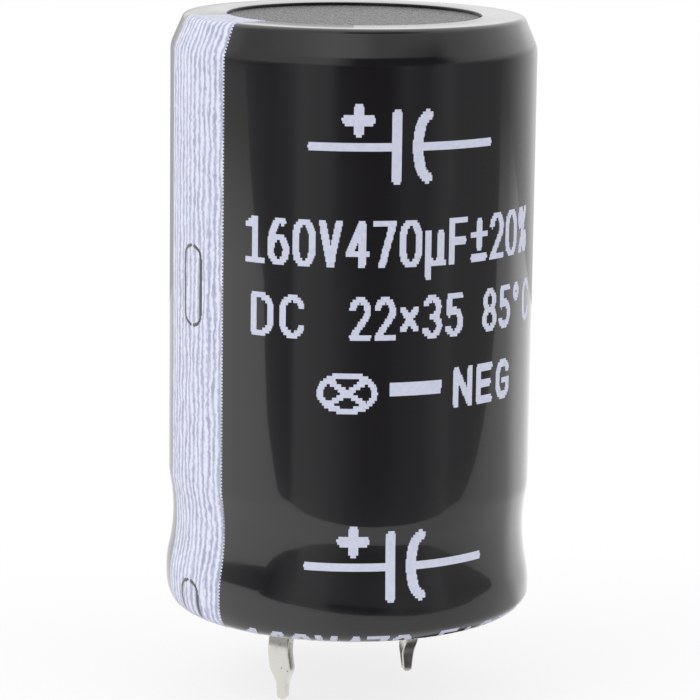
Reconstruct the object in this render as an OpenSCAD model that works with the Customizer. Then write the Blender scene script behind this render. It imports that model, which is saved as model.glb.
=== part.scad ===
// Radial snap-in aluminium electrolytic capacitor, for a board with a 10 mm hole pitch. Millimetres.
// The origin lies on the board's face, midway between the two terminals. +Z runs up the can's axis,
// and +X from the negative terminal to the positive one.

/* [Case] */
// Diameter over the sleeve
case_d = 22; // [20:0.5:30]
// Height from the board to the top of the sleeve
case_h = 36.1; // [28:0.1:50]
// Thickness of the drawn can's side wall
can_wall = 0.4; // [0.3:0.05:0.5]
// Thickness of the can's closed end
can_end = 0.6; // [0.4:0.05:0.9]
// Outer radius of the corner round the closed end
can_corner = 1.5; // [1.2:0.1:2]

/* [Scored vent] */
// Length of each of the two crossed score lines
vent_l = 11; // [6:0.5:13]
// Width of a score line at the surface
vent_w = 0.9; // [0.5:0.1:1.5]
// Depth of a score line
vent_depth = 0.3; // [0.1:0.05:0.35]

/* [End disc] */
// Thickness of the insulating disc on the closed end
disc_t = 0.5; // [0.3:0.05:0.8]
// How far the disc's edge lies inside the can's side
disc_inset = 0.65; // [0.5:0.05:1]
// Radius that rounds the disc's upper edge
disc_edge = 0.25; // [0.1:0.05:0.3]

/* [Sleeve] */
// Wall of the shrunk sleeve
sleeve_t = 0.2; // [0.1:0.05:0.3]
// How far the upper lip reaches in over the disc, from the sleeve's side
top_lip = 3.37; // [2:0.1:5]
// How far the lower lip reaches in under the curled mouth, from the sleeve's side
base_lip = 1.9; // [1.6:0.05:2.1]
// How deep the sleeve dips where it bridges the bead
sleeve_dip = 0.26; // [0.1:0.01:0.45]

/* [Bead and curled mouth] */
// Depth of the rolled bead in the can's side
bead_depth = 1; // [0.8:0.05:1.2]
// Outer radius at the bottom of the bead
bead_r = 0.9; // [0.8:0.05:1.2]
// Outer radius where the bead runs out into the side above it
bead_fillet = 3.5; // [2.5:0.1:4]
// Outer radius where the bead runs out into the band below it
band_fillet = 4.5; // [3.5:0.1:5]
// How much the band below the bead stands out past the side
band_swell = 0.15; // [0:0.05:0.3]
// Outer radius of the curled mouth
curl_r = 1.1; // [0.9:0.05:1.2]
// How deep the curled edge bites into the rubber
curl_bite = 0.25; // [0.1:0.05:0.4]

/* [Deck] */
// Height of the deck's rubber face above the board
deck_recess = 1.45; // [1.45:0.05:2.2]
// Thickness of the rubber facing
rubber_t = 0.8; // [0.5:0.1:1.5]
// Gap between the rubber and the can
rubber_gap = 0.05; // [0.02:0.01:0.1]
// Thickness of the phenolic board
board_t = 1.5; // [1.2:0.1:2.5]
// Gap between the phenolic board's edge and the can
board_gap = 0.6; // [0.5:0.05:0.7]

/* [Terminals] */
// Distance between the terminals' centres
pitch = 10; // [9.6:0.1:12.5]
// Length of a terminal below the board's face
terminal_l = 5.6; // [4.6:0.1:7]
// Thickness of the tinned strip
strip_t = 0.8; // [0.6:0.05:0.8]
// Width of a terminal's blade
blade_w = 1.4; // [1.1:0.05:1.8]
// Width of a terminal at its tip
tip_w = 0.66; // [0.5:0.02:0.9]
// Thickness of a terminal at its tip
tip_t = 0.55; // [0.4:0.05:0.6]
// How far the sprung knee stands out from the blade's line
knee_out = 0.4; // [0.2:0.05:0.6]
// How far the blades are turned from square to the line through both
toe = 25; // [0:5:30]

/* [Rivets] */
// Distance from a blade's centre to its rivet
rivet_off = 2.55; // [2.45:0.05:2.65]
// Diameter of the rivet's shank
shank_d = 1.7; // [1.2:0.1:2]
// Diameter of the rivet's outer head
head_d = 3.2; // [2.6:0.1:3.4]
// Height of the rivet's outer head
head_t = 0.55; // [0.3:0.05:0.6]
// Diameter of the formed inner head
inner_head_d = 2.8; // [2.4:0.1:3.2]
// Height of the formed inner head
inner_head_t = 0.5; // [0.3:0.05:0.7]
// Diameter of the inner washer
washer_d = 3.8; // [3.4:0.1:4]
// Thickness of the inner washer
washer_t = 0.4; // [0.3:0.05:0.6]

/* [Winding] */
// Gap between the roll and the can
roll_gap = 0.3; // [0.2:0.05:0.5]
// Diameter of the roll's hollow core
core_d = 3.6; // [2.5:0.1:5]
// Thickness of the closing tape
tape_t = 0.1; // [0.05:0.01:0.15]
// Height of roll left bare above and below the tape
tape_short = 2; // [1:0.5:6]
// Width of a foil tab
tab_w = 2.6; // [2:0.1:3]
// Thickness of a foil tab
tab_t = 0.2; // [0.1:0.05:0.3]
// Direction in which the negative tab leaves its rivet
negative_tab_turn = 120; // [90:5:150]
// Direction in which the positive tab leaves its rivet, counted from the mirrored side
positive_tab_turn = 240; // [210:5:270]

/* [Hidden] */
$fn = 96;
// Straight steps in one arc of an outline
arc_steps = 8;
// Running clearance between pieces that only rest on each other
play = 0.02;

// Can: radii of its side and of the band below the bead, and the height of its closed end
can_r = case_d / 2 - sleeve_t;
band_r = can_r + band_swell;
disc_top = case_h - sleeve_t;
can_top = disc_top - disc_t;
inner_corner = can_corner - can_wall;

// Bead: heights of its upper and lower half, and the angles at which its arcs meet
span_up = bead_fillet + bead_r;
span_low = band_fillet + bead_r;
bead_up = sqrt(pow(span_up, 2) - pow(span_up - bead_depth, 2));
bead_low = sqrt(pow(span_low, 2) - pow(span_low - bead_depth - band_swell, 2));
angle_up = asin(bead_up / span_up);
angle_low = asin(bead_low / span_low);

// Deck: the board's edge meets the bead's lower flank, which sets the bead's height
flank_up_r = bead_fillet - can_wall;
flank_low_r = band_fillet - can_wall;
flank_rise = sqrt(pow(flank_low_r, 2) - pow(flank_low_r - board_gap, 2));
rubber_top = deck_recess + rubber_t;
board_top = rubber_top + board_t;
bead_z = board_top + play + bead_low - flank_rise;

// Centres of the can's arcs, as [radius, height]
corner_c = [can_r - can_corner, can_top - can_corner];
bead_c = [can_r - bead_depth + bead_r, bead_z];
fillet_up_c = [can_r - bead_fillet, bead_z + bead_up];
fillet_low_c = [band_r - band_fillet, bead_z - bead_low];
curl_c = [band_r - curl_r, sleeve_t + curl_r];

// Rubber: its upper edge is the rubber gap away from the bead's lower flank
rubber_rise = max(0, rubber_top - fillet_low_c[1]);
rubber_r = fillet_low_c[0] + sqrt(pow(flank_low_r, 2) - pow(rubber_rise, 2)) - rubber_gap;

// Sleeve: the slope from the disc's edge down to the can's corner, and the two arcs of its dip
disc_r = can_r - disc_inset;
disc_edge_c = [disc_r - disc_edge, disc_top - disc_edge];
slope_run = disc_edge_c - corner_c;
slope_angle = atan2(slope_run[1], slope_run[0]) - acos((can_corner - disc_edge) / norm(slope_run));
dip_low = sleeve_dip + band_swell;
dip_span_up = (pow(sleeve_dip, 2) + pow(bead_up, 2)) / (2 * sleeve_dip);
dip_span_low = (pow(dip_low, 2) + pow(bead_low, 2)) / (2 * dip_low);
dip_r_up = dip_span_up - bead_fillet;
dip_r_low = dip_span_low - band_fillet;
dip_x = can_r - sleeve_dip;

// Roll: it sits between the bead's upper flank and the can's corner
roll_r = can_r - can_wall - roll_gap;
roll_base = fillet_up_c[1] - sqrt(pow(flank_up_r, 2) - pow(flank_up_r - roll_gap, 2)) + play;
corner_rise = sqrt(pow(inner_corner, 2) - pow(inner_corner - roll_gap, 2));
roll_top = can_top - can_end - inner_corner + corner_rise - play;

// Terminals: heights of the knee and of the taper, and where the strip bends
bend_out = 0.95 * strip_t;
bend_in = 0.15;
foot_z = deck_recess - strip_t;
foot_start = strip_t / 2 + bend_in;
foot_w = blade_w + 0.8;
knee_top_z = -0.06 * terminal_l;
knee_end_z = -0.76 * terminal_l;
taper_z = -0.63 * terminal_l;
taper_end_z = -0.82 * terminal_l;
rivet_at = [rivet_off * cos(toe) - pitch / 2, rivet_off * sin(toe)];

// Tabs: the strip lies under the washer, then bends up to the roll
tab_bend = 0.5;
tab_reach = washer_d / 2 + tab_bend + tab_t;

// Points of an arc about c from angle a to angle b. A negative r bends the outline inwards.
function arc(c, r, a, b) =
    [for (i = [0 : arc_steps]) let (t = a + (b - a) * i / arc_steps) c + r * [cos(t), sin(t)]];

// A list with its repeated neighbours taken out, and a list turned round
function distinct(p) = [for (i = [0 : len(p) - 1]) if (i == 0 || norm(p[i] - p[i - 1]) > 0.0001) p[i]];
function turned(p) = [for (i = [len(p) - 1 : -1 : 0]) p[i]];

// Outline of the can's side from the closed end's corner to the curled edge, set off outwards by d
function can_side(d) = concat(
    arc(fillet_up_c, bead_fillet + d, 0, -angle_up),
    arc(bead_c, d - bead_r, -angle_up, angle_low),
    arc(fillet_low_c, band_fillet + d, angle_low, 0),
    arc(curl_c, curl_r + d, 0, -90),
    arc(curl_c, curl_r + d, -90, -180),
    [[curl_c[0] - curl_r - d, deck_recess + curl_bite]]
);

can_outside = concat([[0, can_top]], arc(corner_c, can_corner, 90, 0), can_side(0));
can_inside = concat(
    [[0, can_top - can_end]],
    arc([corner_c[0], can_top - can_end - inner_corner], inner_corner, 90, 0),
    can_side(-can_wall)
);

// Outline of the sleeve from its upper lip to its lower one, set off outwards by d
function sleeve_side(d) = concat(
    [[case_d / 2 - top_lip, disc_top + d]],
    arc(disc_edge_c, disc_edge + d, 90, slope_angle),
    arc(corner_c, can_corner + d, slope_angle, 0),
    arc(fillet_up_c, bead_fillet + d, 0, -asin(bead_up / dip_span_up)),
    arc([dip_x + dip_r_up, bead_z], d - dip_r_up, -asin(bead_up / dip_span_up), 0),
    arc([dip_x + dip_r_low, bead_z], d - dip_r_low, 0, asin(bead_low / dip_span_low)),
    arc(fillet_low_c, band_fillet + d, asin(bead_low / dip_span_low), 0),
    arc(curl_c, curl_r + d, 0, -90),
    [[case_d / 2 - base_lip, sleeve_t - d]]
);

// Half the width of a terminal at height z: a smooth taper from the blade to the tip
function taper(z) = let (t = min(1, max(0, (taper_z - z) / (taper_z - taper_end_z))))
    (blade_w - (blade_w - tip_w) * t * t * (3 - 2 * t)) / 2;

// The sprung knee of a blade, from its top to its end: points of a face that lies x from the middle
function knee_face(x) =
    [for (i = [0 : 2 * arc_steps]) let (t = i / (2 * arc_steps))
        [x - knee_out * (1 - cos(360 * t)) / 2, knee_top_z + (knee_end_z - knee_top_z) * t]];

// A revolved shell between an outer outline and an inner one
module shell(outside, inside) {
    rotate_extrude()
        polygon(distinct(concat(outside, turned(inside))));
}

// A turned piece whose upper edge is rounded
module rounded_disc(r, z, h, edge) {
    rotate_extrude()
        polygon(concat([[0, z], [r, z]], turned(arc([r - edge, z + h - edge], edge, 90, 0)), [[0, z + h]]));
}

// The terminals and what rivets them are drawn for the negative side, and mirrored for the positive one
module mirrored_side() {
    mirror([1, 0, 0]) children();
}

module can() {
    color("#c9ccd0")
    difference() {
        shell(can_outside, can_inside);
        for (turn = [45, 135])
            translate([0, 0, can_top])
                rotate([90, 0, turn])
                    linear_extrude(vent_l, center = true)
                        polygon([[-vent_w / 2, 0], [vent_w / 2, 0], [0, -vent_depth]]);
    }
}

module sleeve() {
    color("#1f1d20")
        shell(sleeve_side(sleeve_t), sleeve_side(0));
}

module end_disc() {
    color("#3a383a")
        rounded_disc(disc_r, can_top, disc_t, disc_edge);
}

module deck_rubber() {
    color("#2b2a2b")
    difference() {
        translate([0, 0, deck_recess])
            cylinder(r = rubber_r, h = rubber_t);
        // Groove that the curled edge presses into the rubber
        translate([0, 0, deck_recess - 1])
            difference() {
                cylinder(r = curl_c[0] - curl_r + can_wall, h = 1 + curl_bite);
                translate([0, 0, -1])
                    cylinder(r = curl_c[0] - curl_r, h = 3 + curl_bite);
            }
        rivet_holes(deck_recess, rubber_t);
    }
}

module deck_board() {
    color("#4a3020")
    difference() {
        translate([0, 0, rubber_top])
            cylinder(r = band_r - can_wall - board_gap, h = board_t);
        rivet_holes(rubber_top, board_t);
    }
}

module rivet_holes(z, h) {
    for (side = [1, -1])
        translate([side * rivet_at[0], rivet_at[1], z - 1])
            cylinder(d = shank_d, h = h + 2);
}

// Bent strip seen from the side: foot to the right, blade downwards, knee to the left
module strip_profile() {
    half = strip_t / 2;
    bend_z = deck_recess - bend_out;
    polygon(distinct(concat(
        [[foot_start, deck_recess]],
        arc([bend_out - half, bend_z], bend_out, 90, 180),
        knee_face(-half),
        [[-tip_t / 2, tip_t / 3 - terminal_l], [-tip_t / 5, -terminal_l]],
        [[tip_t / 5, -terminal_l], [tip_t / 2, tip_t / 3 - terminal_l]],
        turned(knee_face(half)),
        arc([half + bend_in, foot_z - bend_in], bend_in, 180, 90)
    )));
}

// Blade seen face on: a smooth taper down to a round tip, and shoulders up at the foot
module blade_outline() {
    tip_c = [0, tip_w / 2 - terminal_l];
    right = concat(
        [[foot_w / 2, deck_recess + 1], [foot_w / 2, foot_z], [blade_w / 2, foot_z - 0.3]],
        [for (i = [0 : arc_steps]) let (z = taper_z + (taper_end_z - taper_z) * i / arc_steps) [taper(z), z]]
    );
    polygon(distinct(concat(
        right,
        arc(tip_c, tip_w / 2, 0, -180),
        [for (p = turned(right)) [-p[0], p[1]]]
    )));
}

module terminal() {
    color("#d5d6d4")
    translate([-pitch / 2, 0, 0])
        rotate(toe) {
            intersection() {
                rotate([90, 0, 0])
                    linear_extrude(foot_w, center = true) strip_profile();
                rotate([90, 0, 90])
                    linear_extrude(4 * strip_t + 2 * knee_out, center = true) blade_outline();
            }
            translate([0, 0, foot_z])
                linear_extrude(strip_t)
                    difference() {
                        union() {
                            translate([foot_start, -foot_w / 2])
                                square([rivet_off - foot_start, foot_w]);
                            translate([rivet_off, 0])
                                circle(d = head_d);
                        }
                        translate([rivet_off, 0])
                            circle(d = shank_d);
                    }
        }
}

module rivet() {
    head_z = foot_z - head_t;
    washer_top = board_top + tab_t + washer_t;
    color("#c4c7cb")
    translate([rivet_at[0], rivet_at[1], 0])
        rotate_extrude()
            polygon(distinct(concat(
                [[0, head_z]],
                arc([head_d / 2 - head_t * 0.8, head_z + head_t * 0.8], head_t * 0.8, -90, 0),
                [[head_d / 2, foot_z], [shank_d / 2, foot_z], [shank_d / 2, washer_top]],
                [[inner_head_d / 2, washer_top], [inner_head_d / 2, washer_top + inner_head_t * 0.6]],
                [[inner_head_d * 0.3, washer_top + inner_head_t], [0, washer_top + inner_head_t]]
            )));
}

module washer() {
    color("#cfd2d6")
    translate([rivet_at[0], rivet_at[1], board_top + tab_t])
        difference() {
            cylinder(d = washer_d, h = washer_t);
            translate([0, 0, -1])
                cylinder(d = shank_d, h = washer_t + 2);
        }
}

// Foil strip that lies under the washer, bends up and ends at the roll's lower face
module foil_tab(turn) {
    bend_c = [tab_reach - tab_t - tab_bend, board_top + tab_t + tab_bend];
    color("#dcdee0")
    translate([rivet_at[0], rivet_at[1], 0])
        rotate(turn)
            difference() {
                rotate([90, 0, 0])
                    linear_extrude(tab_w, center = true)
                        polygon(distinct(concat(
                            [[-washer_d / 2, board_top]],
                            arc(bend_c, tab_bend + tab_t, -90, 0),
                            [[tab_reach, roll_base], [tab_reach - tab_t, roll_base]],
                            turned(arc(bend_c, tab_bend, -90, 0)),
                            [[-washer_d / 2, board_top + tab_t]]
                        )));
                translate([0, 0, board_top - 1])
                    cylinder(d = shank_d, h = tab_t + 2);
            }
}

module winding() {
    color("#b9ab8c")
    translate([0, 0, roll_base])
        difference() {
            cylinder(r = roll_r, h = roll_top - roll_base);
            translate([0, 0, -1])
                cylinder(d = core_d, h = roll_top - roll_base + 2);
        }
}

module winding_tape() {
    color("#c8a24a")
    translate([0, 0, roll_base + tape_short])
        difference() {
            cylinder(r = roll_r + tape_t, h = roll_top - roll_base - 2 * tape_short);
            translate([0, 0, -1])
                cylinder(r = roll_r, h = roll_top - roll_base);
        }
}

can();
sleeve();
end_disc();
deck_rubber();
deck_board();
terminal();  // negative_terminal
mirrored_side() terminal();  // positive_terminal
rivet();  // negative_rivet
mirrored_side() rivet();  // positive_rivet
washer();  // negative_washer
mirrored_side() washer();  // positive_washer
foil_tab(negative_tab_turn);  // negative_tab
mirrored_side() foil_tab(positive_tab_turn);  // positive_tab
winding();
winding_tape();
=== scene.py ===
import math
from functools import partial

import bmesh
import bpy
from mathutils import Matrix, Vector


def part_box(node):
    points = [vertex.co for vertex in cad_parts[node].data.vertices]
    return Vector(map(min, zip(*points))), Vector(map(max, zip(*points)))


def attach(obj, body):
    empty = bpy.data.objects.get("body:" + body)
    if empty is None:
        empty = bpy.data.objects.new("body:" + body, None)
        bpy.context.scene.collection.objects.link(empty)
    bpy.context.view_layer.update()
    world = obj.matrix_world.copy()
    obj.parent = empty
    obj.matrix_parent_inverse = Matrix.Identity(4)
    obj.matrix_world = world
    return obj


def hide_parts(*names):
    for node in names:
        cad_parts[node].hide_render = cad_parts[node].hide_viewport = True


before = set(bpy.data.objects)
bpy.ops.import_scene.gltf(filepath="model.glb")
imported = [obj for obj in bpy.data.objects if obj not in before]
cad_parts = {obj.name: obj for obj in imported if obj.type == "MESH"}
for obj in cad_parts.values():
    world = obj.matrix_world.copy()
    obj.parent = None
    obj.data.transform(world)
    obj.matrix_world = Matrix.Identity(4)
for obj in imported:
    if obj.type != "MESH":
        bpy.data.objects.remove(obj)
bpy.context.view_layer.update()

bl_info = {
    "name": "Snap-in capacitor dressing",
    "version": (1, 0, 0),
    "blender": (4, 5, 0),
    "location": "View3D > Sidebar > Capacitor",
    "description": "Dresses the solids of a snap-in electrolytic capacitor and sets up its stage",
    "category": "Object",
}

MM = 0.001
BODY = "root"
WHITE = (1, 1, 1, 1)

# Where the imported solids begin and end
CASE_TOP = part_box("sleeve")[1].z
SLEEVE_BAND_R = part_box("sleeve")[1].x
DISC_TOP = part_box("end_disc")[1].z
DISC_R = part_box("end_disc")[1].x
CAN_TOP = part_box("can")[1].z
CAN_BAND_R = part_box("can")[1].x
BOARD_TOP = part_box("deck_board")[1].z
BOARD_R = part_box("deck_board")[1].x
DECK_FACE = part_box("deck_rubber")[0].z
TIP_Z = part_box("negative_terminal")[0].z

# Distance within which points of a mesh become one
WELD = 0.0001 * MM
# Numbers of a Mix node's sockets for colours: the one it mixes from, the one it mixes to, and the mix
MIX_FROM, MIX_TO, MIXED = 6, 7, 2
# Steps of each arc in the sleeve's outer side and in its bore, of a rolled corner and of a rounded cut
SIDE_STEPS = 14
BORE_STEPS = 6
CORNER_STEPS = 4
# Steps of a round sign's arc, and of each rivet's turn
BOW_STEPS = 14
RIVET_STEPS = 64
# Steps up a terminal: its round tip, its blade, its bend, which the rivets' domes share, and its eye
TIP_STEPS, BLADE_STEPS, BEND_STEPS, EYE_STEPS = 7, 56, 10, 24
# Largest share of the strip's half thickness or half width that its rolled edge takes
ROLLED_SHARE = 0.8
# Where up the sleeve the dip and the band lean: foot, rise, end and fade. The band's foot is lean_from
DIP_LEANS = (1.5 * MM, 3 * MM, 12 * MM, 4 * MM)
BAND_LEANS = (1.2 * MM, 4.5 * MM, 3 * MM)
# The band stands highest where the sine of the bearing is under -0.6, and lowest where it is over 0.4
BAND_TURN = 0.6
# Power by which the tight front swells out again below its deepest point
TIGHT_CURVE = 1.6
# How abruptly the tight sector ends, how much more so above its deepest point, and the rise between
SECTOR_END, SECTOR_END_MORE, SECTOR_END_RISE = 1.3, 0.5, 0.8 * MM
# Passes that find the even height which the lean raises to a point's own
LEAN_PASSES = 8
# Direction of the minus marks, counted from the print's front
MARK_BEARING = math.radians(-58.1)


def linear(code):
    """The linear RGBA of an sRGB hex value."""
    parts = [int(code[i:i + 2], 16) / 255 for i in (1, 3, 5)]
    return tuple(c / 12.92 if c <= 0.04045 else ((c + 0.055) / 1.055) ** 2.4 for c in parts) + (1.0,)


def size(name, what, default):
    """A length that a user may change, written in millimetres."""
    return bpy.props.FloatProperty(name=name, description=what, default=default * MM, min=0, unit="LENGTH",
                                   precision=5)


def turn(name, what, degrees):
    """An angle that a user may change, written in degrees."""
    return bpy.props.FloatProperty(name=name, description=what, default=math.radians(degrees),
                                   unit="ROTATION")


def colour(name, what, code):
    """A colour that a user may change, written as an sRGB hex value."""
    return bpy.props.FloatVectorProperty(name=name, description=what, default=linear(code), size=4,
                                         subtype="COLOR", min=0, max=1)


class SleeveSizes(bpy.types.PropertyGroup):
    """Sizes of the shrunk sleeve and of the can that it follows"""
    wall: size("Wall", "Thickness of the shrunk sleeve", (CASE_TOP - DISC_TOP) / MM)
    swell: size("Band swell", "How far the band below the bead stands out past the side", 0.15)
    top_lip: size("Upper lip", "How far the upper lip reaches in over the disc", 3.37)
    base_lip: size("Lower lip", "How far the lower lip reaches in under the curled mouth", 1.9)
    dip: size("Dip", "How deep the sleeve dips where it bridges the bead", 0.26)
    cut_edge: size("Cut edge", "Radius that rounds the sleeve's cut edges", 0.05)
    can_wall: size("Can wall", "Thickness of the can's side", 0.4)
    corner: size("Corner", "Outer radius of the can's corner", 1.5)
    disc_edge: size("Disc edge", "Radius of the disc's upper edge", 0.25)
    bead_r: size("Bead", "Outer radius at the bottom of the can's bead", 0.9)
    bead_depth: size("Bead depth", "Depth of the can's bead", 1)
    bead_fillet: size("Bead fillet", "Radius where the bead runs out into the side above it", 3.5)
    band_fillet: size("Band fillet", "Radius where the bead runs out into the band below it", 4.5)
    curl: size("Curl", "Outer radius of the can's curled mouth", 1.1)
    play: size("Play", "Running clearance between the board and the can's bead", 0.02)
    tight: turn("Tight front", "Half of the sector in which the tube bridges the bead with a slight dip", 46)
    tight_to: turn("Tight direction", "Middle of that sector, counted from the front", 8)
    tight_dip: size("Tight dip", "How deep it dips in the middle of that sector", 0.07)
    tight_top: size("Tight top", "Height at which it begins to dip there, before the lean", 6.4)
    tight_rise: size("Tight rise", "How much higher it begins to dip at the ends of that sector", 3.2)
    tight_low: size("Tight low", "Height of its deepest point there, before the lean", 5.35)
    tight_end: size("Tight end", "Height below which it is round and even again", 2.3)
    lean: size("Lean", "How much higher than at the back the dip lies on the side it leans to", 0.95)
    lean_to: turn("Lean direction", "Side to which the dip leans, counted from the front", -38)
    band_lean: size("Band lean", "How much higher the band swells left of the front", 0.6)
    band_drop: size("Band drop", "How much lower the band swells right of the front", 0.3)
    lean_from: size("Lean start", "Height below which the sleeve is even", 0.3)
    steps: bpy.props.IntProperty(name="Steps", description="Steps round the sleeve", default=240, min=24)


class PrintSizes(bpy.types.PropertyGroup):
    """Sizes of what is printed on the sleeve"""
    room: size("Room", "Room for the print between the sleeve's face and the part's outside", 0.016)
    lift: size("Lift", "How far the ink stands off the sleeve", 0.01)
    depth: size("Depth", "Thickness of an ink piece, most of it inside the sleeve", 0.03)
    cell: size("Cell", "Width of the print's smallest step", 0.065)
    row: size("Row", "Height of the print's smallest step", 0.16)
    front: turn("Front", "Direction in which the print faces", -130)
    repeat: size("Repeat", "Length of sleeve after which the print repeats", 24.7)
    stripe_from: turn("Stripe start", "Left edge of the polarity stripe, counted from the front", -75.4)
    stripe_to: turn("Stripe end", "Right edge of the polarity stripe, counted from the front", -42.9)
    stripe_cell: size("Stripe cell", "Width and height of the stripe's smallest step", 0.1)
    mark_width: size("Mark width", "Width of the outlined minus mark", 1.85)
    mark_height: size("Mark height", "Height of the outlined minus mark", 4.75)
    mark_pen: size("Mark line", "Width of the minus mark's outline", 0.2)
    mark_gap: size("Mark gap", "Gaps at the top and bottom of the minus mark's outline", 0.16)
    mark_repeat: size("Mark repeat", "Length of sleeve after which the minus mark repeats", 20.35)
    mark_top: size("Mark top", "Height of the upper minus mark's top", 22.85)


class TerminalSizes(bpy.types.PropertyGroup):
    """Sizes of the snap-in terminals and their rivets"""
    pitch: size("Pitch", "Distance between the terminals", 10)
    strip: size("Strip", "Thickness of the tinned strip", 0.8)
    blade: size("Blade", "Width of the blade", 1.4)
    foot: size("Foot", "Width of the foot", 2.2)
    tip: size("Tip", "Width of the tip", 0.66)
    tip_strip: size("Tip strip", "Thickness of the tip", 0.55)
    knee: size("Knee", "How far the sprung knee stands out", 0.4)
    toe: turn("Toe", "How far the blades are turned from square to the line through both", 25)
    rivet_off: size("Rivet", "Distance from a blade's centre to its rivet", 2.55)
    eye: size("Eye", "Diameter of the eye round the rivet", 3.2)
    bend: size("Bend", "Inner radius of the bend", 0.15)
    edge: size("Edge", "Radius of the strip's rolled edges", 0.13)


class Finishes(bpy.types.PropertyGroup):
    """Colours of the finishes"""
    sleeve: colour("Sleeve", "Black PVC of the sleeve", "#161417")
    ink: colour("Ink", "Pale ink of the print", "#c8cbdd")
    stripe: colour("Stripe", "Ink of the polarity stripe between its lines", "#d9dcee")
    ink_line: colour("Ink line", "Darker lines in the polarity stripe", "#8b8ca6")
    disc: colour("Disc", "Grained plastic of the end disc", "#3a383a")
    tin: colour("Tin", "Tin plating of the terminals", "#e8e6e0")
    aluminium: colour("Aluminium", "Bare aluminium of the can, rivets and foil", "#d3d5d8")
    rubber: colour("Rubber", "Rubber facing of the deck", "#232224")
    board: colour("Board", "Phenolic board of the deck", "#6b4526")
    paper: colour("Paper", "Paper between the wound foils", "#c9b68c")
    tape: colour("Tape", "Closing tape of the roll", "#c79a3c")


def feed(made, links):
    """Sets a node's inputs, each to a value, a socket or a node's first output. links is a list in the order
    of the inputs, or a dictionary by their names or numbers."""
    for key, value in links.items() if isinstance(links, dict) else enumerate(links):
        if isinstance(value, bpy.types.Node):
            value = value.outputs[0]
        if isinstance(value, bpy.types.NodeSocket):
            made.id_data.links.new(value, made.inputs[key])
        else:
            made.inputs[key].default_value = value


def node(tree, kind, links=(), **settings):
    """Adds a node with its settings and links."""
    made = tree.nodes.new(kind)
    for name, value in settings.items():
        setattr(made, name, value)
    feed(made, links)
    return made


def tree_with(name, **inputs):
    """A new Geometry Nodes tree with named inputs and one output, what adds a node to it, and its inputs."""
    tree = bpy.data.node_groups.new(name, "GeometryNodeTree")
    for kind, labels in inputs.items():
        for label in labels:
            tree.interface.new_socket(label, in_out="INPUT", socket_type="NodeSocket" + kind)
    tree.interface.new_socket("Piece", in_out="OUTPUT", socket_type="NodeSocketGeometry")
    add = partial(node, tree)
    return tree, add, add("NodeGroupInput").outputs


def close_tree(tree, geometry, finish):
    """Ends a tree: its instances made real, and its material set."""
    real = node(tree, "GeometryNodeRealizeInstances", [geometry])
    dressed = node(tree, "GeometryNodeSetMaterial", {"Geometry": real, "Material": finish})
    node(tree, "NodeGroupOutput", [dressed])
    return tree


def turning_tree():
    """Turns a half section, drawn in the XZ plane, round an upright axis."""
    tree, add, given = tree_with("Turned piece", Geometry=["Section"], Int=["Steps"], Float=["Guide radius"],
                                 Vector=["Centre"], Material=["Finish"])
    place = add("ShaderNodeSeparateXYZ", [add("GeometryNodeInputPosition")]).outputs
    across = add("ShaderNodeMath", [place["X"], given["Guide radius"]], operation="SUBTRACT")
    down = add("ShaderNodeMath", [place["Z"], -1.0], operation="MULTIPLY")
    flat = add("ShaderNodeCombineXYZ", {"X": across, "Y": down})
    section = add("GeometryNodeSetPosition", {"Geometry": given["Section"], "Position": flat})
    outline = add("GeometryNodeMeshToCurve", {"Mesh": section})
    guide = add("GeometryNodeCurvePrimitiveCircle",
                {"Resolution": given["Steps"], "Radius": given["Guide radius"]})
    shell = add("GeometryNodeCurveToMesh", {"Curve": guide, "Profile Curve": outline})
    # Closes the pole of a section that ends on the axis
    closed = add("GeometryNodeMergeByDistance", {"Geometry": shell, "Distance": WELD})
    moved = add("GeometryNodeTransform", {"Geometry": closed, "Translation": given["Centre"]})
    return close_tree(tree, moved, given["Finish"])


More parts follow.
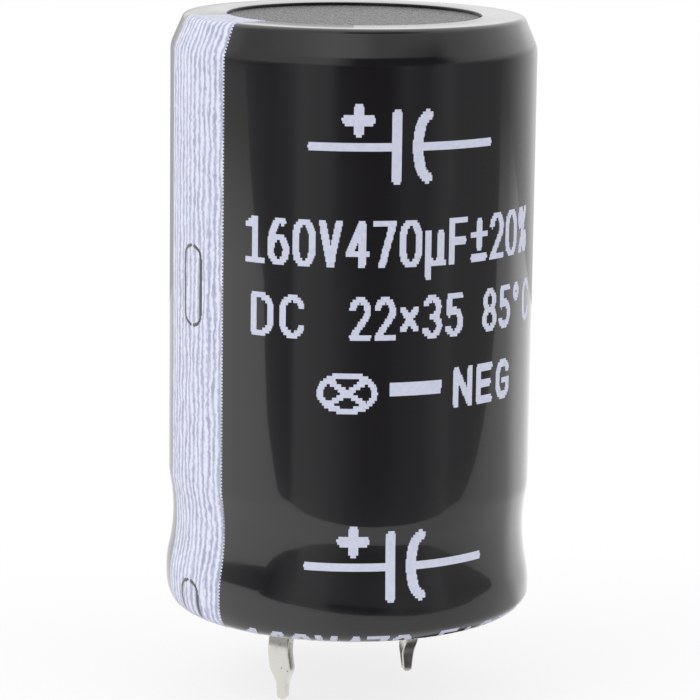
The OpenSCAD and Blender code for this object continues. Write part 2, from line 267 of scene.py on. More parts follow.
def print_tree():
    """Prints the strokes of a flat drawing as a raster of small cells, wrapped round the sleeve's side."""
    tree, add, given = tree_with(
        "Sleeve print", Geometry=["Drawing"], Object=["Side"], Material=["Finish"],
        Float=["Pen", "Tooth", "Cell", "Row", "Radius", "Start angle", "Start length", "Lift"])
    half_pen = add("ShaderNodeMath", [given["Pen"], 0.5], operation="MULTIPLY")
    room = add("GeometryNodeBoundBox", {"Geometry": given["Drawing"]}).outputs
    low = add("ShaderNodeVectorMath", [room["Min"], half_pen], operation="SUBTRACT")
    high = add("ShaderNodeVectorMath", [room["Max"], half_pen], operation="ADD")
    span = add("ShaderNodeVectorMath", [high, low], operation="SUBTRACT")
    spans = add("ShaderNodeSeparateXYZ", [span]).outputs
    grid = {}
    for axis, step in (("X", given["Cell"]), ("Y", given["Row"])):
        share = add("ShaderNodeMath", [spans[axis], step], operation="DIVIDE")
        cells = add("ShaderNodeMath", [share], operation="CEIL")
        grid["Vertices " + axis] = add("ShaderNodeMath", [cells, 1.0], operation="ADD")
        grid["Size " + axis] = add("ShaderNodeMath", [cells, step], operation="MULTIPLY")
    whole = add("ShaderNodeCombineXYZ", {"X": grid["Size X"], "Y": grid["Size Y"]})
    corner = add("ShaderNodeVectorMath", [low, (1, 1, 0)], operation="MULTIPLY")
    middle = add("ShaderNodeVectorMath", [whole, (0.5, 0.5, 0.5), corner], operation="MULTIPLY_ADD")
    raster = add("GeometryNodeMeshGrid", grid)
    sheet = add("GeometryNodeTransform", {"Geometry": raster, "Translation": middle})

    # Keeps the cells under the pen. Every other row reaches a tooth further.
    flat = add("ShaderNodeSeparateXYZ", [add("GeometryNodeInputPosition")]).outputs
    row = add("ShaderNodeMath", [flat["Y"], given["Row"]], operation="DIVIDE")
    number = add("ShaderNodeMath", [row], operation="FLOOR")
    parity = add("ShaderNodeMath", [number, 2.0], operation="FLOORED_MODULO")
    reach = add("ShaderNodeMath", [parity, given["Tooth"], half_pen], operation="MULTIPLY_ADD")
    near = add("GeometryNodeProximity", [given["Drawing"]], target_element="EDGES").outputs["Distance"]
    outside = add("ShaderNodeMath", [near, reach], operation="GREATER_THAN")

    # Leaves out what would lie past the sleeve's cut ends
    side = add("GeometryNodeObjectInfo", [given["Side"]]).outputs["Geometry"]
    path = add("GeometryNodeMeshToCurve", {"Mesh": side})
    along = add("ShaderNodeMath", [given["Start length"], flat["Y"]], operation="SUBTRACT")
    whole_path = add("GeometryNodeCurveLength", [path])
    for end, test in ((whole_path, "GREATER_THAN"), (0.0, "LESS_THAN")):
        past = add("ShaderNodeMath", [along, end], operation=test)
        outside = add("ShaderNodeMath", [outside, past], operation="ADD")
    printed = add("GeometryNodeDeleteGeometry", {"Geometry": sheet, "Selection": outside}, domain="FACE")

    # Wraps the sheet: across becomes an angle, and down a length along the sleeve's side
    spot = add("GeometryNodeSampleCurve", {"Curves": path, "Length": along}, mode="LENGTH").outputs
    facing = add("ShaderNodeVectorMath", [spot["Tangent"], (0, 1, 0)], operation="CROSS_PRODUCT")
    lifted = add("ShaderNodeVectorMath", [facing, given["Lift"], spot["Position"]], operation="MULTIPLY_ADD")
    round_by = add("ShaderNodeMath", [flat["X"], given["Radius"]], operation="DIVIDE")
    bearing = add("ShaderNodeMath", [round_by, given["Start angle"]], operation="ADD")
    place = add("ShaderNodeVectorRotate", {"Vector": lifted, "Angle": bearing}, rotation_type="Z_AXIS")
    wrapped = add("GeometryNodeSetPosition", {"Geometry": printed, "Position": place})
    return close_tree(tree, wrapped, given["Finish"])


def linked(name, mesh):
    """A new object in the scene."""
    made = bpy.data.objects.new(name, mesh)
    bpy.context.scene.collection.objects.link(made)
    return made


def line_mesh(name, lines):
    """A mesh of open lines. A line whose first and last points are the same is closed."""
    points, edges = [], []
    for line in lines:
        first = len(points)
        closed = line[0] == line[-1]
        points += line[:-1] if closed else line
        edges += [(k, k + 1) for k in range(first, len(points) - 1)]
        if closed:
            edges.append((len(points) - 1, first))
    mesh = bpy.data.meshes.new(name)
    mesh.from_pydata(points, edges, [])
    return mesh


def made_by(tree, name, mesh, depth=0.0, **inputs):
    """The piece that a tree makes from a mesh. depth makes a sheet that thick, inwards."""
    source = linked(name + "_source", mesh)
    steps = source.modifiers.new(tree.name, "NODES")
    steps.node_group = tree
    names = {item.name.lower().replace(" ", "_"): item.identifier for item in tree.interface.items_tree
             if item.in_out == "INPUT"}
    for key, value in inputs.items():
        steps[names[key]] = value
    if depth:
        solid = source.modifiers.new("Depth", "SOLIDIFY")
        solid.thickness = depth
        solid.offset = -1
    result = bpy.data.meshes.new_from_object(source.evaluated_get(bpy.context.evaluated_depsgraph_get()))
    bpy.data.objects.remove(source)
    if not result.polygons:
        raise RuntimeError(f"{name} came out empty")
    return linked(name, result)


def seat(piece, slot, *stands_for, sharp=40):
    """Smooths a finished piece between its sharp edges and ties it to the part's frame."""
    piece.data.shade_smooth()
    piece.data.set_sharp_from_angle(angle=math.radians(sharp))
    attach(piece, BODY)
    if stands_for:
        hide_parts(*stands_for)
    return piece


def arc(centre, radius, start, end, steps):
    """Points of an arc, as (across, up), with its angles in radians. A negative radius bends it inwards."""
    angles = [start + (end - start) * k / steps for k in range(steps + 1)]
    return [(centre[0] + radius * math.cos(a), centre[1] + radius * math.sin(a)) for a in angles]


def sleeve_side(sizes, out, steps=SIDE_STEPS):
    """The sleeve's side from its upper lip to its lower one, out from the can: points as (radius, height)."""
    quarter = math.pi / 2
    case_r = SLEEVE_BAND_R - sizes.swell
    can_r = case_r - sizes.wall
    corner = Vector((can_r - sizes.corner, CAN_TOP - sizes.corner))
    disc_edge = Vector((DISC_R - sizes.disc_edge, DISC_TOP - sizes.disc_edge))
    slope = disc_edge - corner
    slope_angle = math.atan2(slope.y, slope.x) - math.acos((sizes.corner - sizes.disc_edge) / slope.length)
    reach_up, reach_low = sizes.bead_fillet + sizes.bead_r, sizes.band_fillet + sizes.bead_r
    bead_up = math.sqrt(reach_up ** 2 - (reach_up - sizes.bead_depth) ** 2)
    bead_low = math.sqrt(reach_low ** 2 - (reach_low - sizes.bead_depth - sizes.swell) ** 2)
    flank = sizes.band_fillet - sizes.can_wall
    board_gap = CAN_BAND_R - sizes.can_wall - BOARD_R
    bead_z = BOARD_TOP + sizes.play + bead_low - math.sqrt(flank ** 2 - (flank - board_gap) ** 2)
    span_up = (sizes.dip ** 2 + bead_up ** 2) / (2 * sizes.dip)
    dip_low = sizes.dip + sizes.swell
    span_low = (dip_low ** 2 + bead_low ** 2) / (2 * dip_low)
    up, low = math.asin(bead_up / span_up), math.asin(bead_low / span_low)
    r_up, r_low = span_up - sizes.bead_fillet, span_low - sizes.band_fillet
    return (
        [(case_r - sizes.top_lip, DISC_TOP + out)]
        + arc(disc_edge, sizes.disc_edge + out, quarter, slope_angle, steps)
        + arc(corner, sizes.corner + out, slope_angle, 0, steps)
        + [(can_r + out, bead_z + bead_up + (1 - k / steps) * sizes.corner) for k in range(steps)]
        + arc((can_r - sizes.bead_fillet, bead_z + bead_up), sizes.bead_fillet + out, 0, -up, steps)
        + arc((can_r - sizes.dip + r_up, bead_z), out - r_up, -up, 0, steps)[1:]
        + arc((can_r - sizes.dip + r_low, bead_z), out - r_low, 0, low, steps)[1:]
        + arc((CAN_BAND_R - sizes.band_fillet, bead_z - bead_low), sizes.band_fillet + out, low, 0, steps)[1:]
        + arc((CAN_BAND_R - sizes.curl, sizes.wall + sizes.curl), sizes.curl + out, 0, -quarter, steps)
        + [(case_r - sizes.base_lip, sizes.wall - out)]
    )


def sleeve_section(sizes, room):
    """The sleeve's whole section, with its cut edges rounded."""
    quarter, cut = math.pi / 2, sizes.cut_edge
    outside, inside = sleeve_side(sizes, sizes.wall - room), sleeve_side(sizes, 0, BORE_STEPS)
    cuts = []
    for side_r, low, high in ((outside[-1][0], room, sizes.wall), (outside[0][0], DISC_TOP, CASE_TOP - room)):
        cuts.append(arc((side_r + cut, low + cut), cut, -quarter, -2 * quarter, CORNER_STEPS)
                    + arc((side_r + cut, high - cut), cut, 2 * quarter, quarter, CORNER_STEPS))
    points = [(r, 0, z) for r, z in outside[1:-1] + cuts[0] + inside[-2:0:-1] + cuts[1]]
    return points + points[:1]


def smooth_step(share):
    """0 below 0, 1 above 1, and a smooth rise between."""
    share = min(1.0, max(0.0, share))
    return share * share * (3 - 2 * share)


def window(height, foot, rise, end, fade):
    """1 in a window of heights, with a smooth rise at its foot and a smooth fade at its end."""
    return smooth_step((height - foot) / rise) * smooth_step((end - height) / fade)


def settle(piece, sizes, front):
    """Moves a piece in or out, from the even sleeve to where the tube has shrunk unevenly. It bridges the
    bead with less of a dip at the front, and its dip and band lean to one side."""
    case_r = SLEEVE_BAND_R - sizes.swell
    side = [(z, r) for r, z in sleeve_side(sizes, sizes.wall) if sizes.lean_from <= z < CASE_TOP / 2]

    def even(height):
        for (z1, r1), (z0, r0) in zip(side, side[1:]):
            if height >= z0:
                return r0 + (r1 - r0) * min(1.0, (height - z0) / (z1 - z0))
        return side[-1][1]

    end_r = even(sizes.tight_end)

    def tight(height, off):
        if height > sizes.tight_low:
            top = sizes.tight_top + sizes.tight_rise * off ** 2
            return case_r - sizes.tight_dip * smooth_step((top - height) / (top - sizes.tight_low))
        share = (sizes.tight_low - height) / (sizes.tight_low - sizes.tight_end)
        return case_r - sizes.tight_dip + (end_r - case_r + sizes.tight_dip) * share ** TIGHT_CURVE

    def raised(height, bearing):
        dip = sizes.lean * (1 + math.cos(bearing - sizes.lean_to)) / 2
        turned = smooth_step(BAND_TURN + math.sin(bearing))
        band = sizes.band_lean - (sizes.band_lean + sizes.band_drop) * turned
        return dip * window(height, *DIP_LEANS) + band * window(height, sizes.lean_from, *BAND_LEANS)

    for point in piece.data.vertices:
        x, y, z = point.co
        if not sizes.lean_from < z < DIP_LEANS[2]:
            continue
        bearing = (math.atan2(y, x) - front + math.pi) % (2 * math.pi) - math.pi
        height = z
        for _ in range(LEAN_PASSES):
            height = z - raised(height, bearing)
        radius = even(height)
        if sizes.tight_end < height < side[0][0]:
            off = min(1.0, abs(bearing - sizes.tight_to) / sizes.tight)
            ends = SECTOR_END + SECTOR_END_MORE * smooth_step((height - sizes.tight_low) / SECTOR_END_RISE)
            radius += smooth_step(ends * (1 - off)) * (tight(height, off) - radius)
        grow = 1 + (radius - even(z)) / math.hypot(x, y)
        point.co = x * grow, y * grow, z


class CAPACITOR_OT_sleeve(bpy.types.Operator):
    """Turns the shrunk sleeve, which stands for the sleeve's solid"""
    bl_idname = "capacitor.sleeve"
    bl_label = "Sleeve"

    def execute(self, context):
        scene = context.scene
        sizes = scene.capacitor_sleeve
        mesh = line_mesh("sleeve_section", [sleeve_section(sizes, scene.capacitor_print.room)])
        piece = made_by(turning_tree(), "shrink_sleeve", mesh, steps=sizes.steps,
                        guide_radius=SLEEVE_BAND_R, finish=sleeve_pvc(scene.capacitor_finish))
        settle(piece, sizes, scene.capacitor_print.front)
        seat(piece, "sleeve_pvc", "sleeve")
        return {"FINISHED"}


def bow(x, y, half_width, half_height, start, end, steps=BOW_STEPS):
    """Points of an ellipse's arc, with its angles in degrees."""
    angles = [math.radians(start + (end - start) * k / steps) for k in range(steps + 1)]
    return [(x + half_width * math.cos(a), y + half_height * math.sin(a)) for a in angles]


def ring(x, y, half_width, half_height):
    """A closed ellipse."""
    points = bow(x, y, half_width, half_height, 0, 360, 2 * BOW_STEPS)
    return points[:-1] + points[:1]


def strokes(sign):
    """The pen strokes of a sign, in a box one wide and one high."""
    upper, lower = (0.5, 0.68, 0.5, 0.32), (0.5, 0.32, 0.5, 0.32)
    oval = bow(*upper, 180, 0) + bow(*lower, 0, -180)
    return {
        "0": [oval + oval[:1]],
        "1": [[(0.08, 0.86), (0.55, 1), (0.55, 0)], [(0.08, 0), (1, 0)]],
        "2": [bow(0.5, 0.71, 0.48, 0.29, 165, -32) + [(0.02, 0), (1, 0)]],
        "3": [bow(0.45, 0.75, 0.45, 0.25, 150, -90) + bow(0.45, 0.25, 0.52, 0.25, 90, -155)],
        "4": [[(0.76, 0), (0.76, 1), (0, 0.27), (1, 0.27)]],
        "5": [[(0.93, 1), (0.14, 1), (0.1, 0.55)] + bow(0.46, 0.31, 0.52, 0.31, 128, -150)],
        "6": [ring(0.5, 0.3, 0.5, 0.3), bow(0.62, 0.3, 0.62, 0.7, 180, 75)],
        "7": [[(0, 1), (1, 1), (0.35, 0)]],
        "8": [ring(0.5, 0.75, 0.42, 0.25), ring(0.5, 0.25, 0.5, 0.25)],
        "D": [[(0, 0), (0, 1), (0.4, 1)] + bow(0.4, 0.68, 0.55, 0.32, 80, 0)
              + bow(0.4, 0.32, 0.55, 0.32, 0, -80) + [(0.4, 0), (0, 0)]],
        "C": [bow(*upper, 20, 180) + bow(*lower, 180, 340)],
        "E": [[(0.95, 1), (0, 1), (0, 0), (0.95, 0)], [(0, 0.52), (0.85, 0.52)]],
        "F": [[(0, 0), (0, 1), (0.95, 1)], [(0, 0.5), (0.85, 0.5)]],
        "G": [bow(*upper, 25, 180) + bow(*lower, 180, 360) + [(1, 0.45), (0.55, 0.45)]],
        "N": [[(0, 0), (0, 1), (1, 0), (1, 1)]],
        "V": [[(0, 1), (0.5, 0), (1, 1)]],
        "%": [ring(0.2, 0.8, 0.2, 0.2), ring(0.8, 0.2, 0.2, 0.2), [(0.1, 0), (0.9, 1)]],
        "°": [ring(0.35, 0.84, 0.25, 0.16)],
        "±": [[(0, 0.6), (1, 0.6)], [(0.5, 0.92), (0.5, 0.28)], [(0, 0.05), (1, 0.05)]],
        "×": [[(0.08, 0.2), (0.92, 0.72)], [(0.08, 0.72), (0.92, 0.2)]],
        "µ": [[(0, 0.72), (0, -0.3)], [(0, 0.25)] + bow(0.42, 0.2, 0.42, 0.2, 180, 350),
              [(0.85, 0.72), (0.85, 0.12), (1, 0)]],
    }[sign]


def lettering(text, *sizes):
    """The strokes of a text with its feet at 0. sizes are pitch, width, height and pen, in millimetres."""
    pitch, width, height, pen = (length * MM for length in sizes)
    lines = []
    for place, sign in enumerate(text):
        start = place * pitch + pen / 2
        lines += [[(start + x * (width - pen), pen / 2 + y * (height - pen), 0) for x, y in stroke]
                  for stroke in strokes(sign)]
    return lines


def circuit_symbol(width, height):
    """The circuit symbol of a polarised capacitor: two leads, a straight and a curved plate, and a plus."""
    middle, gap = height / 2, height * 0.34
    plate, bulge = width * 0.5 - gap / 2, height * 0.2
    half_bend, steps = 78, 20
    curve = [(plate + gap + bulge * (1 - math.cos(a)), middle + middle * math.sin(a), 0)
             for a in [math.radians(-half_bend + 2 * half_bend * k / steps) for k in range(steps + 1)]]
    plus, arm = (width * 0.24, height * 0.92), height * 0.18
    return [
        [(0, middle, 0), (plate, middle, 0)],
        [(plate, 0, 0), (plate, height, 0)],
        curve,
        [(plate + gap, middle, 0), (width, middle, 0)],
        [(plus[0] - arm, plus[1], 0), (plus[0] + arm, plus[1], 0)],
        [(plus[0], plus[1] - arm, 0), (plus[0], plus[1] + arm, 0)],
    ]


def circled_cross(middle, oval, arm):
    """A slanting cross in an ellipse, from its middle's height and both half sizes, in millimetres."""
    cross = [[(-arm[0], middle - k * arm[1]), (arm[0], middle + k * arm[1])] for k in (-1, 1)]
    return [[(x * MM, y * MM, 0) for x, y in line] for line in (ring(0, middle, *oval), *cross)]


def block(left, right, heights):
    """A filled bar, drawn with a level stroke at each height, in millimetres."""
    return [[(left * MM, y * MM, 0), (right * MM, y * MM, 0)] for y in heights]


def minus_mark(prints):
    """The outlined minus of the polarity stripe: a left and a right half, with their tops at 0."""
    half, end = prints.mark_width / 2, prints.mark_width * 0.38
    left = math.degrees(math.acos(-(prints.mark_gap + prints.mark_pen) / prints.mark_width))
    side = bow(0, -end, half, end, left, 180) + bow(0, end - prints.mark_height, half, end, 180, 360 - left)
    return [[(x * k, y, 0) for x, y in side] for k in (1, -1)]


class CAPACITOR_OT_print(bpy.types.Operator):
    """Prints the polarity stripe with its minus marks, and the rows of signs that repeat down the sleeve"""
    bl_idname = "capacitor.print"
    bl_label = "Print"

    def execute(self, context):
        scene = context.scene
        prints, sleeve, finish = scene.capacitor_print, scene.capacitor_sleeve, scene.capacitor_finish
        path = [(r, 0, z) for r, z in sleeve_side(sleeve, sleeve.wall - prints.room)]
        side = linked("print_side", line_mesh("print_side", [path]))
        steps = [((Vector(b) - Vector(a)).length, b[2]) for a, b in zip(path, path[1:])]
        whole = sum(length for length, _ in steps)
        # Length of sleeve from its upper lip down to the top of the straight side
        wall_top = max(z for r, _, z in path if r == max(q[0] for q in path if q[2] > CASE_TOP / 2))
        above = sum(length for length, end in steps if end >= wall_top)
        case_r = SLEEVE_BAND_R - sleeve.swell
        tree = print_tree()
        ink = print_ink(finish)

        def printed(name, lines, pen, bearing, down, slot="sleeve_print", look=ink, cell=None, row=None,
                    lift=prints.lift, tooth=0.0):
            piece = made_by(tree, name, line_mesh(name, lines), depth=prints.depth, pen=pen, tooth=tooth,
                            cell=cell or prints.cell, row=row or prints.row, side=side, radius=case_r,
                            start_angle=prints.front + bearing, start_length=down, lift=lift, finish=look)
            settle(piece, sleeve, prints.front)
            return seat(piece, slot)

        stripe_w = (prints.stripe_to - prints.stripe_from) * case_r
        centre = (prints.stripe_from + prints.stripe_to) / 2
        printed("polarity_stripe", [[(0, stripe_w, 0), (0, -whole - stripe_w, 0)]], stripe_w, centre, 0,
                look=stripe_ink(finish), cell=prints.stripe_cell, row=prints.stripe_cell,
                tooth=prints.stripe_cell)
        # The minus marks are bare sleeve, so each lies a little above the stripe's ink
        bare = bpy.data.materials["Shrunk gloss PVC"]
        for place in range(2):
            printed(f"minus_mark_{place + 1}", minus_mark(prints), prints.mark_pen, MARK_BEARING,
                    above + wall_top - prints.mark_top + place * prints.mark_repeat, slot="sleeve_pvc",
                    look=bare, row=prints.cell, lift=1.5 * prints.lift)

        # Each row: name, height of its feet, pen, copies down the sleeve, and its drawings with bearings, in
        # millimetres and degrees
        rows = (
            ("symbol", 27.6, 0.62, 2, [(circuit_symbol(11 * MM, 3.7 * MM), -12)]),
            ("rating", 22.42, 0.42, 2, [(lettering("160V470µF±20%", 1.56, 1.38, 2.85, 0.42), -34.2)]),
            ("limits", 18.24, 0.38, 1, [
                (lettering("DC", 1.9, 1.55, 2.55, 0.38), -31.7),
                (lettering("22×35", 1.46, 1.3, 2.55, 0.38), -0.5),
                (lettering("85°C", 1.5, 1.3, 2.55, 0.38), 44.5)]),
            ("polarity", 13.99, 0.42, 1, [(lettering("NEG", 1.75, 1.46, 2.4, 0.42), 33.3)]),
        )
        for name, foot, pen, copies, drawings in rows:
            for copy in range(copies):
                for k, (lines, bearing) in enumerate(drawings):
                    printed(f"{name}_{copy + 1}_{k + 1}", lines, pen * MM, math.radians(bearing),
                            above + wall_top - foot * MM + copy * prints.repeat)
        # Each single sign: name, height of its feet, pen, drawing and bearing
        signs = (
            ("circled_cross", 13.9, 0.36, circled_cross(1.25, (1.6, 1.06), (0.95, 0.62)), -0.7),
            ("bar", 14.95, 0.24, block(0.12, 3.1, (0.12, 0.28, 0.42, 0.56, 0.72)), 12.2),
        )
        for name, foot, pen, lines, bearing in signs:
            printed(name, lines, pen * MM, math.radians(bearing), above + wall_top - foot * MM)
        bpy.data.objects.remove(side)
        return {"FINISHED"}


def strip_stations(sizes):
    """The bent strip from its tip to the end of its eye: each station's outer point, inner point and half
    width. Points are (out, up): out runs from the blade towards the rivet."""
    half, tip_r = sizes.strip / 2, sizes.tip / 2
    length = -TIP_Z
    knee_top, knee_end = -0.06 * length, -0.76 * length
    taper, taper_end = -0.63 * length, -0.82 * length
    foot_z = DECK_FACE - sizes.strip
    bend_out = 0.95 * sizes.strip
    shoulder = 0.3 * MM

    def thickness(z):
        tip_top = TIP_Z + sizes.tip_strip / 3
        steps = ((TIP_Z, sizes.tip_strip / 5), (tip_top, sizes.tip_strip / 2), (knee_end, half))
        for (z0, w0), (z1, w1) in zip(steps, steps[1:]):
            if z < z1:
                return w0 + (w1 - w0) * (z - z0) / (z1 - z0)
        return half

    def half_width(z):
        narrowed = smooth_step((taper - z) / (taper - taper_end))
        side = sizes.blade / 2 - (sizes.blade - sizes.tip) / 2 * narrowed
        if z < TIP_Z + tip_r:
            side = math.sqrt(max(0.0, tip_r ** 2 - (TIP_Z + tip_r - z) ** 2))
        rise = smooth_step((z - foot_z + shoulder) / shoulder)
        return side + (sizes.foot - sizes.blade) / 2 * rise

    def knee(z):
        share = min(1.0, max(0.0, (knee_top - z) / (knee_top - knee_end)))
        return -sizes.knee * (1 - math.cos(2 * math.pi * share)) / 2

    low = [TIP_Z + tip_r * (1 - math.cos(math.pi / 2 * k / TIP_STEPS)) for k in range(1, TIP_STEPS + 1)]
    top = foot_z - sizes.bend
    heights = low + [low[-1] + (top - low[-1]) * k / BLADE_STEPS for k in range(1, BLADE_STEPS + 1)]
    stations = [((knee(z) - thickness(z), z), (knee(z) + thickness(z), z), half_width(z)) for z in heights]
    outer = arc((bend_out - half, DECK_FACE - bend_out), bend_out, math.pi, math.pi / 2, BEND_STEPS)
    inner = arc((half + sizes.bend, foot_z - sizes.bend), sizes.bend, math.pi, math.pi / 2, BEND_STEPS)
    stations += [(a, b, sizes.foot / 2) for a, b in zip(outer, inner)][1:]
    eye_r = sizes.eye / 2
    turns = [math.pi * (1 - k / EYE_STEPS) for k in range(1, EYE_STEPS)]
    for x in [sizes.rivet_off + eye_r * math.cos(a) for a in turns]:
        if x > half + 2 * sizes.bend:
            width = math.sqrt(eye_r ** 2 - (x - sizes.rivet_off) ** 2)
            flat = sizes.foot / 2 if x < sizes.rivet_off else 0
            stations.append(((x, DECK_FACE), (x, foot_z), max(width, flat)))
    return stations


def strip_mesh(name, sizes):
    """The bent strip as a closed mesh of sections with rolled edges."""
    shape = bmesh.new()
    rings = []
    for outer, inner, width in strip_stations(sizes):
        a, b = Vector((outer[0], 0, outer[1])), Vector((inner[0], 0, inner[1]))
        middle, along = (a + b) / 2, (b - a).normalized()
        deep = (b - a).length / 2
        edge = min(sizes.edge, ROLLED_SHARE * deep, ROLLED_SHARE * width)
        section = []
        for corner, (u, v) in enumerate(((1, 1), (-1, 1), (-1, -1), (1, -1))):
            centre = middle + along * u * (deep - edge) + Vector((0, v * (width - edge), 0))
            for k in range(CORNER_STEPS + 1):
                bearing = math.pi / 2 * (corner + k / CORNER_STEPS)
                section.append(shape.verts.new(
                    centre + (along * math.cos(bearing) + Vector((0, 1, 0)) * math.sin(bearing)) * edge))
        rings.append(section)
    for low, high in zip(rings, rings[1:]):
        for k in range(len(low)):
            n = (k + 1) % len(low)
            shape.faces.new((low[k], low[n], high[n], high[k]))
    shape.faces.new(rings[0])
    shape.faces.new(rings[-1])
    bmesh.ops.remove_doubles(shape, verts=shape.verts, dist=WELD)
    bmesh.ops.recalc_face_normals(shape, faces=shape.faces)
    mesh = bpy.data.meshes.new(name)
    shape.to_mesh(mesh)
    shape.free()
    return mesh


class CAPACITOR_OT_terminals(bpy.types.Operator):
    """Bends both snap-in terminals with rolled edges, which stand for the terminals' solids"""
    bl_idname = "capacitor.terminals"
    bl_label = "Terminals"

    def execute(self, context):
        sizes, finish = context.scene.capacitor_terminals, context.scene.capacitor_finish
        tin = tinned_strip(finish)
        turned = Matrix.Translation((-sizes.pitch / 2, 0, 0)) @ Matrix.Rotation(sizes.toe, 4, "Z")
        for name, mirrored in (("negative_terminal", False), ("positive_terminal", True)):
            mesh = strip_mesh(name + "_strip", sizes)
            mesh.transform(Matrix.Scale(-1, 4, (1, 0, 0)) @ turned if mirrored else turned)
            if mirrored:
                mesh.flip_normals()
            mesh.materials.append(tin)
            seat(linked(name + "_strip", mesh), "tinned_strip", name, sharp=50)
        return {"FINISHED"}


class CAPACITOR_OT_rivets(bpy.types.Operator):
    """Turns both rivets with domed heads, which stand for the rivets' solids"""
    bl_idname = "capacitor.rivets"
    bl_label = "Rivets"

    def execute(self, context):
        finish = upset_aluminium(context.scene.capacitor_finish)
        tree = bpy.data.node_groups["Turned piece"]
        for name in ("negative_rivet", "positive_rivet"):
            low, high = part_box(name)
            washer_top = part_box(name.replace("rivet", "washer"))[1].z
            head_r = (high.x - low.x) / 2
            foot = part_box(name.replace("rivet", "terminal"))[1].z - context.scene.capacitor_terminals.strip
            dome = 0.8 * (foot - low.z)
            shank_r, inner_r, chamfer = 0.53 * head_r, 0.875 * head_r, 0.2 * MM
            section = (
                [(0, high.z), (shank_r, high.z), (0.84 * head_r, high.z - chamfer), (inner_r, washer_top)]
                + [(shank_r, washer_top), (shank_r, foot), (head_r, foot)]
                + arc((head_r - dome, low.z + dome), dome, 0, -math.pi / 2, BEND_STEPS)
                + [(0, low.z)]
            )
            centre = ((low.x + high.x) / 2, (low.y + high.y) / 2, 0)
            piece = made_by(tree, name + "_turned", line_mesh(name, [[(r, 0, z) for r, z in section]]),
                            steps=RIVET_STEPS, guide_radius=head_r, centre=centre, finish=finish)
            seat(piece, "rivet_aluminium", name)
        return {"FINISHED"}


def emptied(owner):
    """Empties the node tree of a new material or world, and gives what adds a node to it."""
    owner.use_nodes = True
    owner.node_tree.nodes.clear()
    return partial(node, owner.node_tree)


def material(name):
    """A new material, what adds a node to it, its Object coordinates and its shader."""
    made = bpy.data.materials.new(name)
    add = emptied(made)
    shader = add("ShaderNodeBsdfPrincipled")
    add("ShaderNodeOutputMaterial", {"Surface": shader})
    return made, add, add("ShaderNodeTexCoord").outputs["Object"], shader


def sleeve_pvc(finish):
    """Shrunk PVC tube: extruded black with a polished skin, faintly wavy where it has drawn tight."""
    made, add, place, shader = material("Shrunk gloss PVC")
    wave = add("ShaderNodeTexNoise", {"Vector": place, "Scale": 1 / (6 * MM), "Detail": 1.0})
    speck = add("ShaderNodeTexNoise", {"Vector": place, "Scale": 1 / (0.35 * MM), "Detail": 2.0})
    soft = add("ShaderNodeMapRange", {"Value": speck, "To Min": 0.1, "To Max": 0.2})
    long_bump = add("ShaderNodeBump", {"Height": wave, "Distance": 0.02 * MM})
    bump = add("ShaderNodeBump", {"Height": speck, "Distance": 0.0004 * MM, "Normal": long_bump})
    feed(shader, {"Base Color": finish.sleeve, "IOR": 1.5, "Roughness": soft, "Normal": bump,
                  "Coat Weight": 1.0, "Coat Roughness": 0.03, "Coat Normal": long_bump})
    return made


def print_ink(finish):
    """Flexible printing ink on PVC: satin, slightly mottled where the screen laid it thin."""
    made, add, place, shader = material("Pale printed ink")
    mottle = add("ShaderNodeTexNoise", {"Vector": place, "Scale": 1 / (0.25 * MM), "Detail": 3.0})
    thin = add("ShaderNodeMapRange", {"Value": mottle, "From Min": 0.35, "From Max": 0.75, "To Max": 0.22})
    shade = add("ShaderNodeMix", {"Factor": thin, MIX_FROM: finish.ink, MIX_TO: finish.ink_line},
                data_type="RGBA").outputs[MIXED]
    bump = add("ShaderNodeBump", {"Height": mottle, "Distance": 0.003 * MM})
    feed(shader, {"Base Color": shade, "Roughness": 0.42, "Normal": bump})
    return made


def stripe_ink(finish):
    """The same ink laid as a wide band, with fine wavering darker lines running down it in its colour and its
    bump.
    """
    made, add, place, shader = material("Pale ink, banded")
    parts = add("ShaderNodeSeparateXYZ", [place]).outputs
    bearing = add("ShaderNodeMath", [parts["Y"], parts["X"]], operation="ARCTAN2")
    across = add("ShaderNodeMath", [bearing, SLEEVE_BAND_R], operation="MULTIPLY")
    stretched = add("ShaderNodeMapping", {"Vector": place, "Scale": (1.0, 1.0, 0.4)})
    # The lines waver and crinkle: width of the noise, its detail and how far it moves them, in millimetres
    for where, width, detail, reach in ((stretched, 0.8, 2.0, 0.6), (place, 0.28, 1.0, 0.33)):
        noise = add("ShaderNodeTexNoise", {"Vector": where, "Scale": 1 / (width * MM), "Detail": detail})
        across = add("ShaderNodeMath", [noise, reach * MM, across], operation="MULTIPLY_ADD")
    phase = add("ShaderNodeMath", [across, 2 * math.pi / (0.5 * MM)], operation="MULTIPLY")
    lines = add("ShaderNodeMath", [phase], operation="SINE")
    patchy = add("ShaderNodeTexNoise", {"Vector": stretched, "Scale": 1 / (0.5 * MM), "Detail": 2.0})
    strong = add("ShaderNodeMapRange", {"Value": patchy, "From Min": 0.35, "From Max": 0.6, "To Min": 0.7})
    dark = add("ShaderNodeMapRange", {"Value": lines, "From Min": -0.8, "To Max": 0.85})
    share = add("ShaderNodeMath", [dark, strong], operation="MULTIPLY")
    shade = add("ShaderNodeMix", {"Factor": share, MIX_FROM: finish.stripe, MIX_TO: finish.ink_line},
                data_type="RGBA").outputs[MIXED]
    bump = add("ShaderNodeBump", {"Height": lines, "Distance": 0.004 * MM})
    feed(shader, {"Base Color": shade, "Roughness": 0.42, "Normal": bump})
    return made


